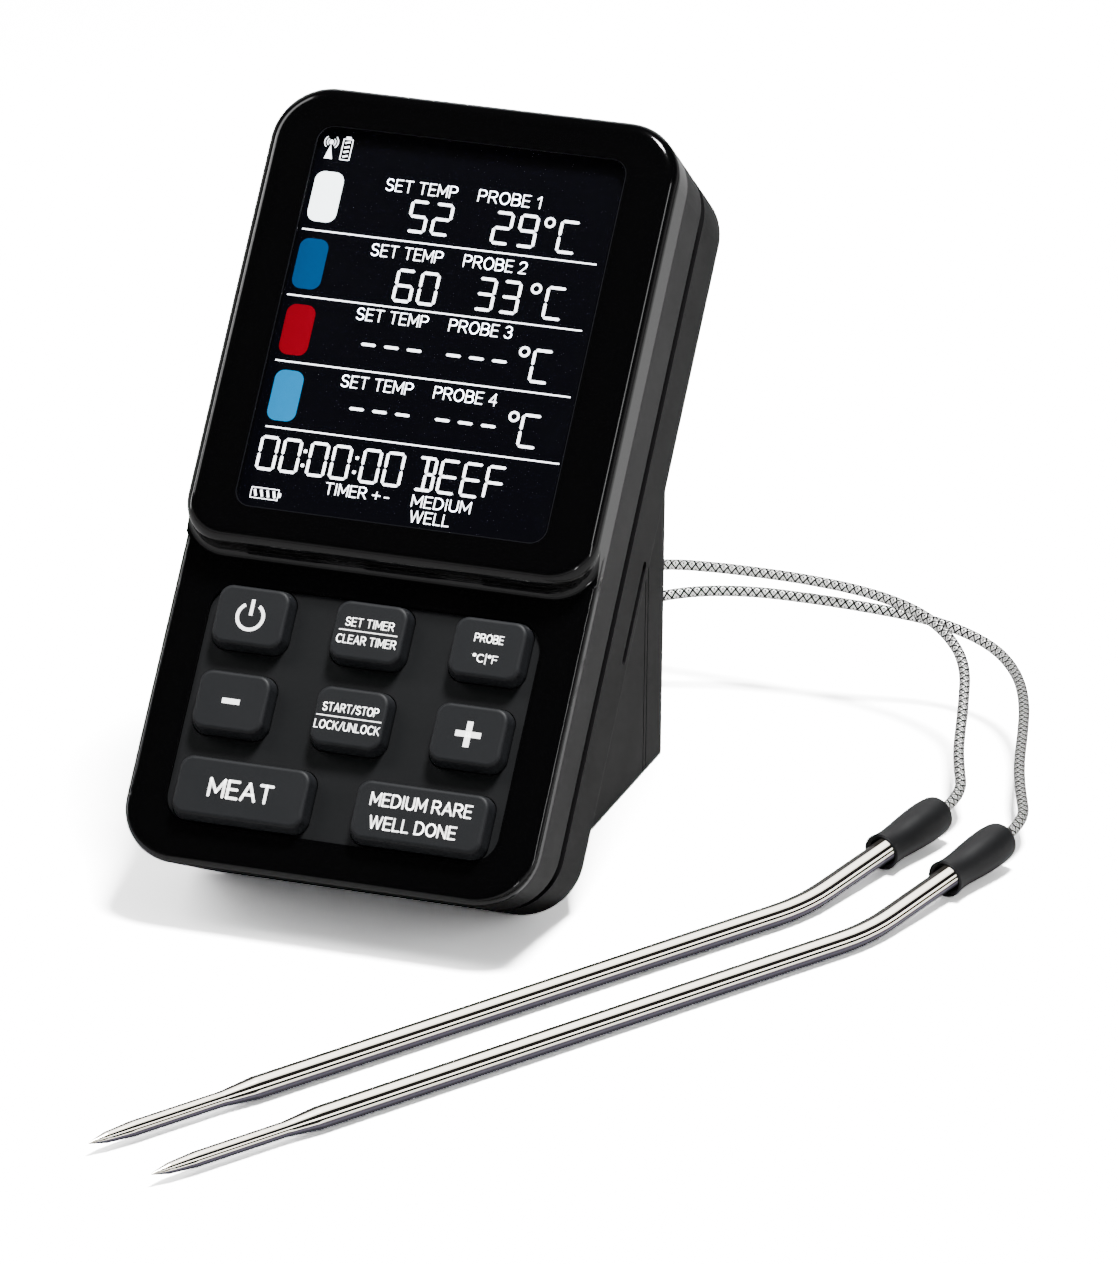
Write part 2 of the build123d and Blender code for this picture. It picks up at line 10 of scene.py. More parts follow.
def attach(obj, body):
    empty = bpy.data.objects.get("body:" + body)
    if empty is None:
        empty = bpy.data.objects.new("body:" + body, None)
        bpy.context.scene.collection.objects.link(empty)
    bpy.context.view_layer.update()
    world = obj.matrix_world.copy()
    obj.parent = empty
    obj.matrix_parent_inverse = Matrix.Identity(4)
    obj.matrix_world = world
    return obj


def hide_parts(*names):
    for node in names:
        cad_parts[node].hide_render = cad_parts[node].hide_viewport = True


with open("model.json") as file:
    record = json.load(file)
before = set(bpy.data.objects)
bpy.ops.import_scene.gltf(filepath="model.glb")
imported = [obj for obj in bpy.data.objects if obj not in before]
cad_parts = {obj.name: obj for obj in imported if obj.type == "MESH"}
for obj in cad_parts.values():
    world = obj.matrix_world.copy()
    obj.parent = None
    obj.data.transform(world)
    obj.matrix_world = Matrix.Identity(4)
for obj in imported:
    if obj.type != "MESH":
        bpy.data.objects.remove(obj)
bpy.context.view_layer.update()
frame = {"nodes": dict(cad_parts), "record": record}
MM = 0.001
scene = bpy.context.scene
root = scene.collection


def link(obj):
    root.objects.link(obj)
    return obj


# ---------------------------------------------------------------- camera
def place_camera():
    data = bpy.data.cameras.new("camera")
    data.sensor_fit = "HORIZONTAL"
    data.sensor_width = 36.0
    data.lens = 302.2
    data.shift_x = 0.0028
    data.shift_y = 0.0018
    data.clip_start = 0.05
    data.clip_end = 50.0
    camera = link(bpy.data.objects.new("camera", data))
    eye = Vector((0.5117, -1.4379, 0.6314))
    ahead = (Vector((0.0339, -0.0285, 0.0529)) - eye).normalized()
    right = ahead.cross(Vector((0, 0, 1))).normalized()
    up = right.cross(ahead)
    roll = radians(0.716)
    tilted_right = right * cos(roll) + up * sin(roll)
    tilted_up = up * cos(roll) - right * sin(roll)
    turn = Matrix((tilted_right, tilted_up, -ahead)).transposed()
    camera.matrix_world = Matrix.Translation(eye) @ turn.to_4x4()
    scene.camera = camera


place_camera()

# ---------------------------------------------------------------- the slab's own frame
LEAN = radians(37.8)
DEPTH = 27.5
FACE_X = Vector((1, 0, 0))
FACE_Y = Vector((0, sin(LEAN), cos(LEAN)))
FACE_OUT = Vector((0, -cos(LEAN), sin(LEAN)))
FACE_ORIGIN = FACE_OUT * DEPTH * MM + Vector((0, -28.5 * MM, 0))
FACE = Matrix.Translation(FACE_ORIGIN) @ Matrix((FACE_X, FACE_Y, FACE_OUT)).transposed().to_4x4()


# ---------------------------------------------------------------- materials
def material(name, color, rough, metal=0.0, **inputs):
    mat = bpy.data.materials.new(name)
    mat.use_nodes = True
    shader = mat.node_tree.nodes["Principled BSDF"]
    shader.inputs["Base Color"].default_value = (*color, 1)
    shader.inputs["Roughness"].default_value = rough
    shader.inputs["Metallic"].default_value = metal
    for key, value in inputs.items():
        shader.inputs[key.replace("_", " ")].default_value = value
    return mat


def nodes_of(mat):
    return mat.node_tree.nodes, mat.node_tree.links, mat.node_tree.nodes["Principled BSDF"]


def add_grain(mat, scale, strength, distance, rough_low, rough_high, detail=3.0):
    """Fine moulded grain: an uneven surface and an uneven sheen."""
    nodes, links, shader = nodes_of(mat)
    coords = nodes.new("ShaderNodeTexCoord")
    noise = nodes.new("ShaderNodeTexNoise")
    noise.inputs["Scale"].default_value = scale
    noise.inputs["Detail"].default_value = detail
    links.new(coords.outputs["Object"], noise.inputs["Vector"])
    bump = nodes.new("ShaderNodeBump")
    bump.inputs["Strength"].default_value = strength
    bump.inputs["Distance"].default_value = distance
    links.new(noise.outputs["Fac"], bump.inputs["Height"])
    links.new(bump.outputs["Normal"], shader.inputs["Normal"])
    wide = nodes.new("ShaderNodeTexNoise")
    wide.inputs["Scale"].default_value = scale * 0.02
    links.new(coords.outputs["Object"], wide.inputs["Vector"])
    span = nodes.new("ShaderNodeMapRange")
    span.inputs["To Min"].default_value = rough_low
    span.inputs["To Max"].default_value = rough_high
    links.new(wide.outputs["Fac"], span.inputs["Value"])
    links.new(span.outputs["Result"], shader.inputs["Roughness"])


def math_node(nodes, links, kind, a, b=None):
    node = nodes.new("ShaderNodeMath")
    node.operation = kind
    for slot, value in zip(node.inputs, (a, b)):
        if value is None:
            continue
        if isinstance(value, (int, float)):
            slot.default_value = value
        else:
            links.new(value, slot)
    return node.outputs["Value"]


def braid_material():
    """Crossing strands of fine wire, from the lead's length (x, in mm) and its turn (y, in radians).

    The low gaps between the strands are painted dark as shade, and the strands glow a little, for the
    camera only: a painted highlight, strongest where the tube faces the camera.
    """
    mat = material("braid", (0.8, 0.8, 0.79), 0.3, 0.95)
    nodes, links, shader = nodes_of(mat)
    uv = nodes.new("ShaderNodeUVMap")
    uv.uv_map = "along"
    split = nodes.new("ShaderNodeSeparateXYZ")
    links.new(uv.outputs["UV"], split.inputs["Vector"])
    along = math_node(nodes, links, "MULTIPLY", split.outputs["X"], 4.0)
    around = math_node(nodes, links, "MULTIPLY", split.outputs["Y"], 3.0)
    one = math_node(nodes, links, "SINE", math_node(nodes, links, "ADD", along, around))
    two = math_node(nodes, links, "SINE", math_node(nodes, links, "SUBTRACT", along, around))
    one_top = math_node(nodes, links, "ABSOLUTE", one)
    two_top = math_node(nodes, links, "ABSOLUTE", two)
    wave_along = math_node(nodes, links, "SINE", along)
    wave_around = math_node(nodes, links, "SINE", around)
    over = math_node(nodes, links, "MULTIPLY", wave_along, wave_around)
    pick = math_node(nodes, links, "GREATER_THAN", over, 0.0)
    mix = nodes.new("ShaderNodeMix")
    mix.data_type = "FLOAT"
    links.new(pick, mix.inputs["Factor"])
    links.new(one_top, mix.inputs["A"])
    links.new(two_top, mix.inputs["B"])
    height = mix.outputs["Result"]
    bump = nodes.new("ShaderNodeBump")
    bump.inputs["Strength"].default_value = 0.9
    bump.inputs["Distance"].default_value = 0.00016
    links.new(height, bump.inputs["Height"])
    links.new(bump.outputs["Normal"], shader.inputs["Normal"])
    # Painted shade: the base colour goes near black in the low gaps between strands.
    ramp = nodes.new("ShaderNodeValToRGB")
    ramp.color_ramp.elements[0].position = 0.62
    ramp.color_ramp.elements[0].color = (0.002, 0.002, 0.002, 1)
    ramp.color_ramp.elements[1].position = 0.95
    ramp.color_ramp.elements[1].color = (0.8, 0.79, 0.77, 1)
    links.new(height, ramp.inputs["Fac"])
    links.new(ramp.outputs["Color"], shader.inputs["Base Color"])
    # Painted highlight: a camera-only glow in the strands' colour, strongest down the middle of the tube as
    # seen.
    rim = nodes.new("ShaderNodeLayerWeight")
    rim.inputs["Blend"].default_value = 0.5
    facing = math_node(nodes, links, "SUBTRACT", 1.0, rim.outputs["Facing"])
    middle = math_node(nodes, links, "POWER", facing, 1.3)
    path = nodes.new("ShaderNodeLightPath")
    painted_glow = math_node(nodes, links, "MULTIPLY", path.outputs["Is Camera Ray"], 2.2)
    links.new(ramp.outputs["Color"], shader.inputs["Emission Color"])
    links.new(math_node(nodes, links, "MULTIPLY", middle, painted_glow), shader.inputs["Emission Strength"])
    return mat


def steel_material():
    """Polished steel, with painted reflections: bright and dark bands set by the way the surface faces.

    The bands are painted reflections in the colour that also glow for the camera only, and stand for a
    studio that the rest of the scene doesn't have.
    """
    mat = material("polished steel", (0.62, 0.61, 0.59), 0.14, 1.0)
    nodes, links, shader = nodes_of(mat)
    coords = nodes.new("ShaderNodeTexCoord")
    turn = nodes.new("ShaderNodeMapping")
    turn.inputs["Rotation"].default_value = (0, 0, radians(-59.7))
    turn.inputs["Scale"].default_value = (12, 900, 900)
    links.new(coords.outputs["Object"], turn.inputs["Vector"])
    noise = nodes.new("ShaderNodeTexNoise")
    noise.inputs["Scale"].default_value = 1.0
    noise.inputs["Detail"].default_value = 4.0
    links.new(turn.outputs["Vector"], noise.inputs["Vector"])
    span = nodes.new("ShaderNodeMapRange")
    span.inputs["To Min"].default_value = 0.10
    span.inputs["To Max"].default_value = 0.22
    links.new(noise.outputs["Fac"], span.inputs["Value"])
    links.new(span.outputs["Result"], shader.inputs["Roughness"])
    # Painted reflections: colour bands by how the surface faces one fixed direction.
    side = nodes.new("ShaderNodeVectorMath")
    side.operation = "DOT_PRODUCT"
    side.inputs[1].default_value = (-0.412, 0.241, 0.879)
    links.new(coords.outputs["Normal"], side.inputs[0])
    across = nodes.new("ShaderNodeMapRange")
    across.inputs["From Min"].default_value = -1.0
    across.inputs["From Max"].default_value = 1.0
    links.new(side.outputs["Value"], across.inputs["Value"])
    bands = nodes.new("ShaderNodeValToRGB")
    elements = bands.color_ramp.elements
    elements[0].position, elements[0].color = 0.0, (0.02, 0.022, 0.028, 1)
    elements[1].position, elements[1].color = 1.0, (0.01, 0.009, 0.008, 1)
    for position, level in (
        (0.08, 0.004), (0.16, 0.03), (0.22, 0.02), (0.28, 0.003), (0.305, 0.25), (0.34, 0.7), (0.36, 0.004),
        (0.445, 0.003), (0.46, 0.9), (0.505, 1.0), (0.52, 0.004), (0.655, 0.003), (0.675, 0.4), (0.72, 1.0),
        (0.88, 1.0), (0.905, 0.01),
    ):
        element = elements.new(position)
        element.color = (level, level * 0.93, level * (0.8 if position > 0.29 else 1.2), 1)
    links.new(across.outputs["Result"], bands.inputs["Fac"])
    links.new(bands.outputs["Color"], shader.inputs["Base Color"])
    links.new(bands.outputs["Color"], shader.inputs["Emission Color"])
    path = nodes.new("ShaderNodeLightPath")
    painted_glow = math_node(nodes, links, "MULTIPLY", path.outputs["Is Camera Ray"], 4.5)
    links.new(painted_glow, shader.inputs["Emission Strength"])
    return mat


GLOSS = material(
    "gloss black", (0.0016, 0.0016, 0.0018), 0.12,
    Specular_IOR_Level=0.4, Coat_Weight=0.3, Coat_Roughness=0.04,
)
add_grain(GLOSS, 900, 0.01, 0.00001, 0.08, 0.12)
MID = material("frame grey", (0.008, 0.008, 0.0088), 0.42, Specular_IOR_Level=0.22)
add_grain(MID, 5000, 0.25, 0.00003, 0.38, 0.46)
CASE = material("case black", (0.0045, 0.0045, 0.0048), 0.48, Specular_IOR_Level=0.16)
add_grain(CASE, 5000, 0.35, 0.00004, 0.42, 0.52)
RUBBER = material("keypad rubber", (0.0056, 0.0062, 0.0072), 0.6, Specular_IOR_Level=0.3)
add_grain(RUBBER, 7000, 0.25, 0.00003, 0.5, 0.6)
KEYS = material("key rubber", (0.0092, 0.0102, 0.0122), 0.55, Specular_IOR_Level=0.35)
add_grain(KEYS, 7000, 0.25, 0.00003, 0.5, 0.6)
SLEEVE = material("sleeve rubber", (0.006, 0.0062, 0.007), 0.42)
add_grain(SLEEVE, 6000, 0.25, 0.00003, 0.38, 0.5)
GLASS = material("window", (0.002, 0.002, 0.003), 0.04, Alpha=0.12)
LCD = material("display black", (0.0012, 0.0014, 0.004), 0.25)
STEEL = steel_material()
BRAID = braid_material()
DARK = material("dark plastic", (0.02, 0.02, 0.021), 0.4)
add_grain(DARK, 5000, 0.2, 0.00003, 0.36, 0.44)
BOARD = material("circuit board", (0.01, 0.09, 0.03), 0.35)
PLATED = material("plated steel", (0.7, 0.7, 0.69), 0.25, 1.0)
BRASS = material("pin plating", (0.85, 0.66, 0.32), 0.18, 1.0)
CELL = material("cell wrap", (0.12, 0.14, 0.17), 0.3, 0.4)
SHIELD = material("shield", (0.62, 0.62, 0.6), 0.35, 1.0)
PALE = material("white plastic", (0.8, 0.8, 0.78), 0.5)
PINK = material("strip", (0.6, 0.35, 0.38), 0.6)
POTTING = material("potting", (0.3, 0.12, 0.03), 0.25)

BY_SLOT = {
    "gloss_cover": GLOSS, "window": GLASS, "display": LCD, "white_plastic": PALE, "inner_black": DARK,
    "contact_rubber": PINK, "keypad_rubber": RUBBER, "key_rubber": KEYS, "carbon": DARK, "frame_grey": MID,
    "case_black": CASE, "circuit_board": BOARD, "shield": SHIELD, "cell": CELL, "plated": PLATED,
    "jack_black": DARK, "polished_steel": STEEL, "potting": POTTING, "braid": BRAID, "tie": DARK,
    "pin_plating": BRASS, "sleeve_rubber": SLEEVE,
}
for part in frame["record"]["subparts"]:
    mesh = frame["nodes"][part["node"]].data
    mesh.materials.clear()
    mesh.materials.append(BY_SLOT[part["material_slot"]])


# ---------------------------------------------------------------- leads
COIL_RADII = [9.0, 11.0, 13.0]
COIL_LAYERS = 4
COIL_STEPS = 18
LEAD_R = 1.0
LEAD_SIDES = 12
LEAD_STEP = 0.0011


def coil_points(middle):
    """The wound lead: round and round from the outside at the bottom to the outside at the top."""
    points = []
    bow = cos(pi / COIL_STEPS)
    turns = COIL_LAYERS * len(COIL_RADII)
    rings = []
    for layer in range(COIL_LAYERS):
        radii = COIL_RADII[::-1] if layer % 2 == 0 else COIL_RADII
        for radius in radii:
            rings.append((radius, 1.6 + 2.0 * layer))
    count = int((turns - 0.5) * COIL_STEPS)
    for step in range(count + 1):
        turn, part = divmod(step / COIL_STEPS, 1.0)
        here = rings[int(turn)]
        following = rings[min(int(turn) + 1, turns - 1)]
        blend = max(0.0, (part - 0.75) / 0.25)
        radius = (here[0] + (following[0] - here[0]) * blend) / bow
        height = here[1] + (following[1] - here[1]) * blend
        angle = pi / 2 + 2 * pi * step / COIL_STEPS
        points.append((middle[0] + radius * cos(angle), middle[1] + radius * sin(angle), height))
    return points


def lead_curve(name, points):
    data = bpy.data.curves.new(name, "CURVE")
    data.dimensions = "3D"
    data.resolution_u = 6
    spline = data.splines.new("NURBS")
    spline.points.add(len(points) - 1)
    for target, p in zip(spline.points, points):
        target.co = (p[0] * MM, p[1] * MM, p[2] * MM, 1)
    spline.order_u = 3
    spline.use_endpoint_u = True
    return data


def read_line(name, points):
    """The points that the lead's own curve runs through, at even steps along it."""
    data = lead_curve(name + "_line", points)
    obj = link(bpy.data.objects.new(name + "_line", data))
    bpy.context.view_layer.update()
    mesh = bpy.data.meshes.new_from_object(obj.evaluated_get(bpy.context.evaluated_depsgraph_get()))
    raw = [v.co.copy() for v in mesh.vertices]
    bpy.data.objects.remove(obj)
    bpy.data.curves.remove(data)
    bpy.data.meshes.remove(mesh)
    return raw


def evenly(raw, step):
    line = [raw[0]]
    carried = 0.0
    for a, b in zip(raw, raw[1:]):
        length = (b - a).length
        at = step - carried
        while at < length:
            line.append(a.lerp(b, at / length))
            at += step
        carried = (carried + length) % step
    line.append(raw[-1])
    return line


def tube(name, line, radius, sides):
    """A round tube along the line, carrying the length and the turn for its braid."""
    mesh = bpy.data.meshes.new(name)
    verts, faces, marks = [], [], []
    side = Vector((0, 0, 1)).cross(line[1] - line[0]).normalized()
    gone = 0.0
    for i, p in enumerate(line):
        ahead = (line[min(i + 1, len(line) - 1)] - line[max(i - 1, 0)]).normalized()
        side = (side - ahead * side.dot(ahead)).normalized()
        other = ahead.cross(side)
        if i:
            gone += (p - line[i - 1]).length
        for j in range(sides):
            angle = 2 * pi * j / sides
            verts.append(p + (side * cos(angle) + other * sin(angle)) * radius)
        marks.append(gone / MM)
    for i in range(len(line) - 1):
        for j in range(sides):
            k = (j + 1) % sides
            faces.append((i * sides + j, i * sides + k, (i + 1) * sides + k, (i + 1) * sides + j))
    faces.append(tuple(range(sides))[::-1])
    faces.append(tuple((len(line) - 1) * sides + j for j in range(sides)))
    mesh.from_pydata(verts, [], faces)
    layer = mesh.uv_layers.new(name="along")
    for poly in mesh.polygons:
        corners = [mesh.loops[k].vertex_index for k in poly.loop_indices]
        wraps = any(v % sides == sides - 1 for v in corners)
        for loop, v in zip(poly.loop_indices, corners):
            j = v % sides
            if wraps and j == 0 and len(corners) == 4:
                j = sides
            layer.data[loop].uv = (marks[v // sides], 2 * pi * j / sides)
    mesh.shade_smooth()
    mesh.materials.append(BRAID)
    return link(bpy.data.objects.new(name, mesh))


def make_lead(probe, tail, middle, lead):
    name = probe + "_braided_lead"
    points = tail[:-1] + coil_points(middle) + lead[1:]
    raw = read_line(name, points)
    line = evenly(raw, LEAD_STEP)
    total = sum((b - a).length for a, b in zip(raw, raw[1:]))
    print(name, "length", round(total, 4))
    obj = tube(name, line, LEAD_R * MM, LEAD_SIDES)
    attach(obj, probe)
    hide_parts(probe + "_lead", probe + "_tail", probe + "_coil")


make_lead(
    "probe_1",
    [
        (-6, 76.6, 32), (-5.5, 87, 32), (-3.5, 97.5, 27), (-1.5, 106, 18.5), (-2.5, 113, 9.5),
        (-8.5, 117.5, 3.6), (-18, 118, 1.6),
    ],
    (-18.0, 105.0),
    [
        (-18, 92, 7.6), (-10, 92, 8.6), (-2, 91.8, 13.5), (6, 91.5, 18.5), (15, 91.2, 20.6),
        (25, 90.8, 21.3), (36, 90, 21.7), (46, 89, 21.8), (56, 87.3, 21.5), (65, 83.8, 20.8),
        (72, 79, 19.2), (77.5, 72.5, 16.3), (80.3, 62, 12.6), (82.6, 51.5, 9), (84.4, 46, 7.6),
        (87.4, 38.4, 5.2), (85.3, 30.9, 4.64),
    ],
)
make_lead(
    "probe_2",
    [
        (-18, 76.6, 32), (-19, 87, 32), (-23.5, 95.5, 26.5), (-30.5, 99, 18), (-36.5, 100.5, 9.5),
        (-43, 101, 3.4), (-52, 101, 1.6),
    ],
    (-52.0, 88.0),
    [
        (-52, 75, 7.6), (-42, 75, 7.2), (-31, 75.3, 7.4), (-20, 76, 8.2), (-9, 77, 9.6),
        (1, 78.5, 12), (10, 80.5, 15.8), (20, 84.3, 18.3), (31, 87.6, 18.8), (43, 89, 18.4),
        (55, 90.2, 17.6), (67, 92.6, 15.7), (77.5, 89.4, 13.9), (84.5, 81.5, 12.5), (89, 71.5, 11.1),
        (92, 60, 9.4), (94.4, 49.5, 8), (97.4, 40.5, 6.5), (101.2, 31, 5.2), (99.2, 23.2, 4.64),
    ],
)


# ---------------------------------------------------------------- printed and lit marks
MARK_THICK = 0.02         # millimetres, like all places and sizes of the marks
DISPLAY_LEVEL = 3.215     # heights above the slab's front plane
COVER_LEVEL = 4.952
KEY_LEVEL = 2.405
WINDOW_MIDDLE = 92.3      # up the face
RULINGS = [(108.7, -28.0, 26.1), (96.5, -28.0, 26.1), (84.4, -27.4, 26.7), (72.3, -26.4, 27.3)]


def glow(name, color, strength):
    mat = bpy.data.materials.new(name)
    mat.use_nodes = True
    shader = mat.node_tree.nodes["Principled BSDF"]
    shader.inputs["Base Color"].default_value = (*color, 1)
    shader.inputs["Roughness"].default_value = 0.5
    shader.inputs["Emission Color"].default_value = (*color, 1)
    shader.inputs["Emission Strength"].default_value = strength
    shader.inputs["Specular IOR Level"].default_value = 0.0
    return mat


LIT = glow("lit white", (0.93, 0.95, 1.0), 6.0)
LIT_WHITE = glow("patch white", (0.84, 0.92, 0.95), 6.5)
LIT_BLUE = glow("patch blue", (0.0, 0.07, 0.22), 0.62)
LIT_RED = glow("patch red", (0.30, 0.0, 0.01), 0.5)
LIT_SKY = glow("patch light blue", (0.0, 0.24, 0.56), 0.8)
# A thin ring along the window's border, a little lighter than the gloss cover: the real edge, with a
# painted highlight on it.
WINDOW_EDGE_HIGHLIGHT = material("window edge", (0.006, 0.0065, 0.009), 0.3)
# The key legends are white print that also glows: a painted glow, brighter than the lamps make it.
GLOWING_INK = glow("glowing legend ink", (0.9, 0.9, 0.89), 2.4)


def arc(cx, cy, rx, ry, start, end, steps=12):
    angles = [radians(start + (end - start) * i / steps) for i in range(steps + 1)]
    return [(cx + rx * cos(a), cy + ry * sin(a)) for a in angles]


def rounded_outline(x, y, width, height, corner, steps=6):
    points = []
    for cx, cy, base in ((1, 1, 0), (-1, 1, 90), (-1, -1, 180), (1, -1, 270)):
        middle_x = x + cx * (width / 2 - corner)
        middle_y = y + cy * (height / 2 - corner)
        points += arc(middle_x, middle_y, corner, corner, base, base + 90, steps)
    return points


class Flat:
    """Flat shapes gathered into one mesh parallel to the face, at one height."""

    def __init__(self, name, height, mat, body, slot):
        self.name, self.height, self.mat = name, height, mat
        self.body, self.slot = body, slot
        self.verts, self.faces = [], []

    def shape(self, points):
        start = len(self.verts)
        n = len(points)
        for x, y in points:
            self.verts.append((x * MM, y * MM, self.height * MM))
        for x, y in points:
            self.verts.append((x * MM, y * MM, (self.height + MARK_THICK) * MM))
        self.faces.append(tuple(start + n + i for i in range(n)))
        self.faces.append(tuple(start + i for i in range(n))[::-1])
        for i in range(n):
            j = (i + 1) % n
            self.faces.append((start + i, start + j, start + n + j, start + n + i))

    def bar(self, x0, y0, x1, y1, width, pointed=0.0):
        """A straight bar, with pointed ends when pointed is set."""
        a, b = Vector((x0, y0)), Vector((x1, y1))
        d = (b - a).normalized()
        s = Vector((-d.y, d.x)) * width / 2
        if pointed:
            inner = d * pointed
            pts = [a, a + inner - s, b - inner - s, b, b - inner + s, a + inner + s]
        else:
            pts = [a - s, b - s, b + s, a + s]
        self.shape([(p.x, p.y) for p in pts])

    def ring(self, x, y, radius, width, start=0.0, end=360.0, steps=28):
        """A ring, or part of one, as short bars that meet."""
        angles = [radians(start + (end - start) * i / steps) for i in range(steps + 1)]
        for a, b in zip(angles, angles[1:]):
            inner, outer = radius - width / 2, radius + width / 2
            self.shape([
                (x + outer * cos(a), y + outer * sin(a)), (x + outer * cos(b), y + outer * sin(b)),
                (x + inner * cos(b), y + inner * sin(b)), (x + inner * cos(a), y + inner * sin(a)),
            ])

    def rounded(self, x, y, width, height, corner):
        self.shape(rounded_outline(x, y, width, height, corner))

    def done(self):
        mesh = bpy.data.meshes.new(self.name)
        mesh.from_pydata(self.verts, [], self.faces)
        mesh.materials.append(self.mat)
        obj = link(bpy.data.objects.new(self.name, mesh))
        obj.matrix_world = FACE
        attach(obj, self.body)
        return obj


def letter(char):
    """(width, strokes) of a plain capital, one unit high."""
    bowl = [(0, 1), (0.3, 1)] + arc(0.3, 0.74, 0.26, 0.26, 90, -90) + [(0, 0.48)]
    table = {
        " ": (0.12, []),
        "A": (0.68, [[(0, 0), (0.34, 1), (0.68, 0)], [(0.12, 0.34), (0.56, 0.34)]]),
        "B": (0.58, [[(0, 0), (0, 1), (0.3, 1)] + arc(0.3, 0.765, 0.235, 0.235, 90, -90) + [(0, 0.53)],
                     [(0, 0.53), (0.32, 0.53)] + arc(0.32, 0.265, 0.26, 0.265, 90, -90) + [(0, 0)]]),
        "C": (0.64, [arc(0.36, 0.5, 0.36, 0.5, 48, 312, 20)]),
        "D": (0.62, [[(0, 0), (0, 1), (0.24, 1)] + arc(0.24, 0.5, 0.38, 0.5, 90, -90, 16) + [(0, 0)]]),
        "E": (0.50, [[(0.5, 1), (0, 1), (0, 0), (0.5, 0)], [(0, 0.52), (0.45, 0.52)]]),
        "F": (0.48, [[(0.48, 1), (0, 1), (0, 0)], [(0, 0.5), (0.42, 0.5)]]),
        "I": (0.08, [[(0.04, 0), (0.04, 1)]]),
        "K": (0.58, [[(0, 0), (0, 1)], [(0.55, 1), (0, 0.36)], [(0.19, 0.58), (0.58, 0)]]),
        "L": (0.46, [[(0, 1), (0, 0), (0.46, 0)]]),
        "M": (0.72, [[(0, 0), (0, 1), (0.36, 0.25), (0.72, 1), (0.72, 0)]]),
        "N": (0.60, [[(0, 0), (0, 1), (0.6, 0), (0.6, 1)]]),
        "O": (0.70, [arc(0.35, 0.5, 0.35, 0.5, 0, 360, 28)]),
        "P": (0.56, [[(0, 0)] + bowl]),
        "R": (0.60, [[(0, 0)] + bowl, [(0.28, 0.48), (0.6, 0)]]),
        "S": (0.56, [arc(0.28, 0.745, 0.25, 0.255, 25, 270, 14)
                     + arc(0.28, 0.245, 0.275, 0.245, 90, -158, 14)]),
        "T": (0.60, [[(0, 1), (0.6, 1)], [(0.3, 1), (0.3, 0)]]),
        "U": (0.58, [[(0, 1), (0, 0.29)] + arc(0.29, 0.29, 0.29, 0.29, 180, 360) + [(0.58, 1)]]),
        "W": (0.92, [[(0, 1), (0.23, 0), (0.46, 1), (0.69, 0), (0.92, 1)]]),
        "1": (0.26, [[(0, 0.78), (0.24, 1), (0.24, 0)]]),
        "2": (0.52, [arc(0.26, 0.73, 0.26, 0.27, 170, -38) + [(0, 0), (0.52, 0)]]),
        "3": (0.52, [arc(0.25, 0.755, 0.24, 0.245, 155, -90) + arc(0.25, 0.255, 0.27, 0.255, 90, -160)]),
        "4": (0.56, [[(0.42, 0), (0.42, 1), (0, 0.3), (0.56, 0.3)]]),
        "/": (0.36, [[(0, -0.04), (0.36, 1.04)]]),
        "|": (0.02, [[(0.01, -0.2), (0.01, 1.15)]]),
        "°": (0.26, [arc(0.13, 0.86, 0.13, 0.14, 0, 360, 14)]),
        "+": (0.62, [[(0, 0.42), (0.62, 0.42)], [(0.31, 0.12), (0.31, 0.72)]]),
        "-": (0.5, [[(0.16, 0.34), (0.5, 0.34)]]),
    }
    return table[char]


class Lettering(Flat):
    """Lines of capitals drawn with flat strokes that have round ends."""

    def __init__(self, name, level, mat, body, slot, stroke):
        super().__init__(name, level, mat, body, slot)
        self.stroke = stroke

    def line(self, text, x, y, height, width, gap=0.22):
        widths = [letter(c)[0] for c in text]
        natural = sum(widths) + gap * (len(text) - 1)
        tall = height - self.stroke
        stretch = (width - self.stroke) / natural
        at = -natural / 2
        for char, wide in zip(text, widths):
            for stroke in letter(char)[1]:
                points = [Vector((x + (at + px) * stretch, y + (py - 0.5) * tall)) for px, py in stroke]
                for a, b in zip(points, points[1:]):
                    self.round_bar(a, b)
            at += wide + gap

    def round_bar(self, a, b):
        if (b - a).length < 1e-6:
            return
        turn = degrees(atan2(b.y - a.y, b.x - a.x))
        r = self.stroke / 2
        far = arc(b.x, b.y, r, r, turn - 90, turn + 90, 5)
        near = arc(a.x, a.y, r, r, turn + 90, turn + 270, 5)
        self.shape(far + near)


SEGMENTS = {
    "a": (0, 1, 1, 1), "b": (1, 1, 1, 0.5), "c": (1, 0.5, 1, 0), "d": (0, 0, 1, 0),
    "e": (0, 0.5, 0, 0), "f": (0, 1, 0, 0.5), "g": (0, 0.5, 1, 0.5),
    "i": (0.5, 1, 0.5, 0.5), "l": (0.5, 0.5, 0.5, 0),
}
GLYPHS = {
    "0": "abcdef", "2": "abged", "3": "abgcd", "5": "afgcd", "6": "afgedc", "9": "abfgcd",
    "C": "afed", "-": "g", "B": "abcdilg", "E": "afged", "F": "afge",
}


def segment_text(flat, text, x, y, width, height, pitch, stroke):
    """Characters made of straight segments, centred at x, y."""
    start = x - pitch * (len(text) - 1) / 2
    for i, char in enumerate(text):
        left = start + i * pitch - width / 2
        low = y - height / 2
        for name in GLYPHS[char]:
            x0, y0, x1, y1 = SEGMENTS[name]
            if char == "B" and name == "g":
                x0 = 0.5
            a = (left + x0 * width, low + y0 * height)
            b = (left + x1 * width, low + y1 * height)
            d = Vector((b[0] - a[0], b[1] - a[1])).normalized() * stroke * 0.16
            flat.bar(a[0] + d.x, a[1] + d.y, b[0] - d.x, b[1] - d.y, stroke, stroke * 0.5)


def degree_c(flat, ring_x, c_x, y, height, stroke):
    flat.ring(ring_x, y + height / 2 - 0.55, 0.78, 0.42, steps=20)
    segment_text(flat, "C", c_x, y, 3.2, height, 4, stroke)


